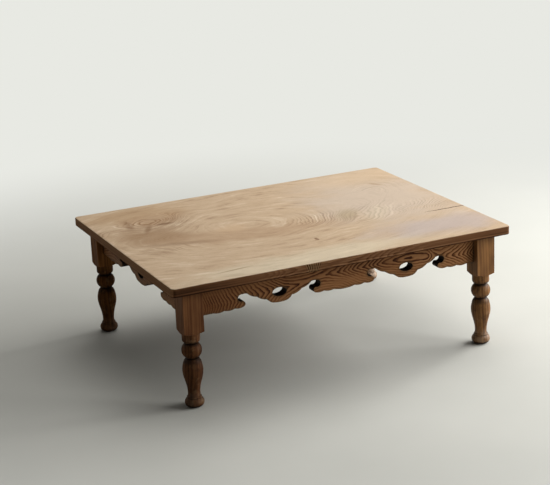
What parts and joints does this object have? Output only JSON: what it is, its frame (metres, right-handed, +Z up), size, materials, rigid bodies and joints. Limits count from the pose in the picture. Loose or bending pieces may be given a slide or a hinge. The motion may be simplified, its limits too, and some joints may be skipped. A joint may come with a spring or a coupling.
{
  "type": "low table",
  "caption": "Low rectangular table with a plank top, pierced and scalloped aprons and turned legs, used while sitting on the floor.",
  "frame": {"origin": "on the floor, under the middle of the table", "axes": "+X along the table's length, +Y from the front to the back, +Z up"},
  "size_m": [1, 0.758, 0.345],
  "materials": {
    "top_wood": "worn, dry, figured plank",
    "apron_wood": "dark stain, bold grain, satin",
    "leg_wood": "dark stain, straight grain, satin",
    "inner_wood": "plain, unfinished",
    "peg_wood": "plain",
    "screw_steel": "dull"
  },
  "bodies": {
    "root": {"top_board": "top_wood", "button_screws": "screw_steel", "leg_front_left": "leg_wood", "leg_front_right": "leg_wood", "leg_back_right": "leg_wood", "leg_back_left": "leg_wood", "apron_front": "apron_wood", "apron_right": "apron_wood", "apron_back": "apron_wood", "apron_left": "apron_wood", "cross_rail_left": "inner_wood", "cross_rail_right": "inner_wood", "button_front_left": "inner_wood", "button_front_middle": "inner_wood", "button_front_right": "inner_wood", "button_back_left": "inner_wood", "button_back_middle": "inner_wood", "button_back_right": "inner_wood", "button_left_front": "inner_wood", "button_left_back": "inner_wood", "button_right_front": "inner_wood", "button_right_back": "inner_wood", "peg_front_left": "peg_wood", "peg_left_front": "peg_wood", "peg_front_right": "peg_wood", "peg_right_front": "peg_wood", "peg_back_right": "peg_wood", "peg_right_back": "peg_wood", "peg_back_left": "peg_wood", "peg_left_back": "peg_wood"}
  },
  "joints": []
}
